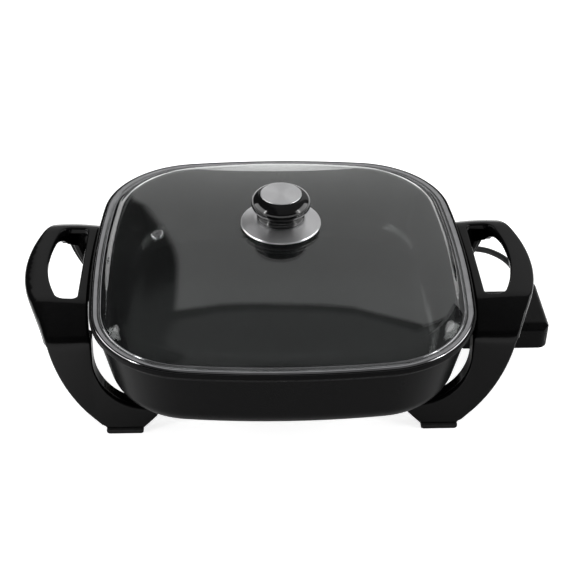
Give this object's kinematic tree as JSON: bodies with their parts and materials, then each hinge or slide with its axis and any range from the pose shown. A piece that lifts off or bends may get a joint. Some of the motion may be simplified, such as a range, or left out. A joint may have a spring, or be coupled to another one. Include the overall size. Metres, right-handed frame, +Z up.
{
  "type": "electric skillet",
  "caption": "Square electric skillet with bowed sides, arched handles that form its legs, lift-off domed glass lid with steel band and knob, and plug-in heat controller with cord.",
  "frame": {"origin": "on the table, at the centre of the box round the skillet with its controller plugged in, without the cord; the pan's own centre is 9.25 mm to -X of it", "axes": "+X along the skillet's long way, towards the side with the controller; +Z up from the table; the front of the skillet faces -Y"},
  "size_m": [0.4384, 0.3943, 0.1715],
  "materials": {
    "coated_cast": "cast aluminium under a satin black non-stick coating",
    "element_sheath": "dull drawn tube",
    "pin_metal": "plain nickel-plated steel",
    "ceramic": "unglazed ceramic",
    "guard_sheet": "mill-finish sheet",
    "screw_metal": "zinc plate",
    "black_moulding": "glossy black heat-resistant moulding",
    "pad_rubber": "matte rubber",
    "lid_glass": "clear tempered glass",
    "polished_steel": "polished stainless steel",
    "gloss_black": "high-gloss black moulding",
    "brushed_steel": "fine brushed stainless steel",
    "brass": "plain brass",
    "washer_silicone": "soft silicone",
    "amber_lens": "clear amber plastic",
    "lamp_glass": "clear glass",
    "cord_rubber": "smooth black cord jacket",
    "tie_plastic": "flexible strap"
  },
  "bodies": {
    "skillet": {"pan": "coated_cast", "heating_element": "element_sheath", "terminal_pins": "pin_metal", "pin_insulators": "ceramic", "terminal_guard": "guard_sheet", "guard_screws": "screw_metal", "right_handle": "black_moulding", "left_handle": "black_moulding", "handle_screws": "screw_metal", "foot_pads": "pad_rubber"},
    "lid": {"lid_glass": "lid_glass", "lid_band": "polished_steel", "steam_vent": "polished_steel", "knob_skirt": "polished_steel", "knob_body": "gloss_black", "knob_cap": "brushed_steel", "knob_insert": "brass", "upper_washer": "washer_silicone", "lower_washer": "washer_silicone", "steel_washer": "screw_metal", "knob_screw": "screw_metal"},
    "controller": {"controller_top": "black_moulding", "controller_base": "black_moulding", "controller_screws": "screw_metal", "contact_sockets": "brass", "probe": "pin_metal", "thermostat_block": "ceramic", "bimetal_strip": "pin_metal", "indicator_lens": "amber_lens", "indicator_lamp": "lamp_glass", "strain_relief": "cord_rubber", "cord": "cord_rubber", "cord_coil": "cord_rubber", "coil_tie": "tie_plastic", "plug_body": "cord_rubber", "plug_blades": "brass"},
    "dial": {"temperature_dial": "black_moulding", "dial_shaft": "pin_metal"}
  },
  "joints": [
    {"name": "lid_lift", "type": "slide", "parent": "skillet", "child": "lid", "axis": [0, 0, 1], "range_m": [0, 0.15]},
    {"name": "controller_pull", "type": "slide", "parent": "skillet", "child": "controller", "axis": [1, 0, 0], "range_m": [0, 0.08]},
    {"name": "dial_turn", "type": "hinge", "parent": "controller", "child": "dial", "pos_m": [0.17575, 0, 0.05], "axis": [0, 0, 1], "range_deg": [-270, 0]}
  ]
}
